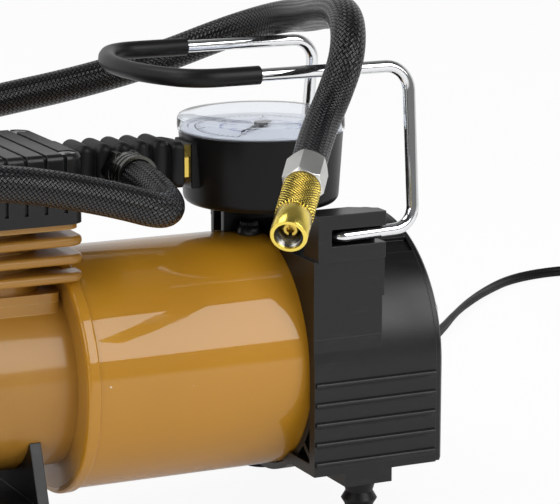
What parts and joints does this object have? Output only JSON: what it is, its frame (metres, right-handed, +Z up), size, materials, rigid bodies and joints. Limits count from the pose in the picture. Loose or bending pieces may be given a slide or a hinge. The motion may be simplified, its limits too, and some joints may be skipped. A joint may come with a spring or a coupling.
{
  "type": "tire inflator",
  "caption": "Portable tire inflator: drum-shaped motor, finned piston pump, dial gauge facing up, wire carrying handle, braided hose with screw-on chuck and a coiled supply cord.",
  "frame": {"origin": "on the surface the feet stand on, under the middle of the compressor without its hose, cord and plug", "axes": "+X along the motor axis from the pump to the end housing, -Y towards the side with the chuck, +Z up"},
  "size_m": [0.5197, 0.3836, 0.1866],
  "materials": {
    "gold_paint": "glossy metallic paint",
    "gold_casting": "satin metallic paint on cast aluminium",
    "black_plastic": "fine-grained satin moulding",
    "black_gloss": "glossy moulding",
    "clear": "clear moulded cap",
    "dial_white": "printed card",
    "needle_black": "satin",
    "brass": "machined",
    "nickel": "nickel plating",
    "bright_wire": "polished plated wire",
    "steel": "plain steel",
    "aluminium": "as cast",
    "magnet": "ferrite",
    "copper": "enamelled copper",
    "brush": "carbon",
    "rubber": "matte",
    "braid": "glossy twill braid",
    "cord_cover": "satin sheath"
  },
  "bodies": {
    "inflator": {"motor_shell": "gold_paint", "front_plate": "gold_casting", "motor_can": "steel", "field_magnets": "magnet", "brush_plate": "black_plastic", "carbon_brushes": "brush", "rear_plate": "steel", "bearings": "steel", "crankcase": "gold_casting", "crankcase_cover": "gold_casting", "pump_cylinder": "gold_casting", "valve_plate": "steel", "cylinder_head": "aluminium", "head_cover": "black_plastic", "head_bolts": "steel", "delivery_pipe": "brass", "pipe_sleeve": "black_plastic", "gauge_union": "brass", "gauge_case": "black_gloss", "gauge_lens": "clear", "gauge_dial": "dial_white", "movement_frame": "brass", "bourdon_tube": "brass", "gauge_socket": "brass", "gauge_cradle": "black_plastic", "gauge_nut": "brass", "end_housing": "black_plastic", "end_cover": "black_plastic", "cover_screws": "steel", "switch_body": "black_gloss", "handle_wire": "bright_wire", "handle_grip": "rubber", "foot_front_right": "rubber", "foot_back_right": "rubber", "foot_front_left": "rubber", "foot_back_left": "rubber", "pump_bracket": "black_plastic", "hose": "braid", "hose_fitting": "nickel", "chuck_nut": "nickel", "cord_gland": "rubber", "power_cord": "cord_cover", "power_cord_coil": "cord_cover", "coil_tie": "black_plastic", "plug_body": "black_plastic"},
    "rotor": {"motor_shaft": "steel", "armature_core": "steel", "armature_windings": "copper", "commutator": "brass", "cooling_fan": "black_plastic", "crank_disc": "steel"},
    "piston_rod": {"connecting_rod": "aluminium", "piston": "aluminium"},
    "needle": {"gauge_needle": "needle_black"},
    "sector": {"sector_gear": "brass"},
    "rocker": {"switch_rocker": "black_gloss"},
    "chuck": {"chuck_sleeve": "brass", "chuck_seal": "rubber", "chuck_pin": "brass"},
    "plug_contact": {"plug_tip": "nickel"}
  },
  "joints": [
    {"name": "rotor_spin", "type": "hinge", "parent": "inflator", "child": "rotor", "pos_m": [0, 0, 0.057], "axis": [1, 0, 0], "continuous": true},
    {"name": "piston_stroke", "type": "slide", "parent": "inflator", "child": "piston_rod", "axis": [0, 0, 1], "range_m": [-0.012, 0]},
    {"name": "needle_sweep", "type": "hinge", "parent": "inflator", "child": "needle", "pos_m": [0.0436, 0, 0.134], "axis": [0, 0, -1], "range_deg": [0, 270]},
    {"name": "sector_turn", "type": "hinge", "parent": "inflator", "child": "sector", "pos_m": [0.03055, 0, 0.129], "axis": [0, 0, 1], "range_deg": [0, 41.7]},
    {"name": "rocker_click", "type": "hinge", "parent": "inflator", "child": "rocker", "pos_m": [0.0911, 0, 0.056], "axis": [0, -1, 0], "range_deg": [0, 20]},
    {"name": "chuck_swivel", "type": "hinge", "parent": "inflator", "child": "chuck", "pos_m": [0.01879, -0.08544, 0.13316], "axis": [-0.5338, -0.7467, -0.3968], "continuous": true},
    {"name": "plug_tip_press", "type": "slide", "parent": "inflator", "child": "plug_contact", "axis": [0, 1, 0], "range_m": [0, 0.0025], "stiffness_N_per_m": 600, "springref_m": -0.002}
  ],
  "couplings": [
    {"joint": "needle_sweep", "follows": "sector_turn", "ratio": 6.4706}
  ]
}
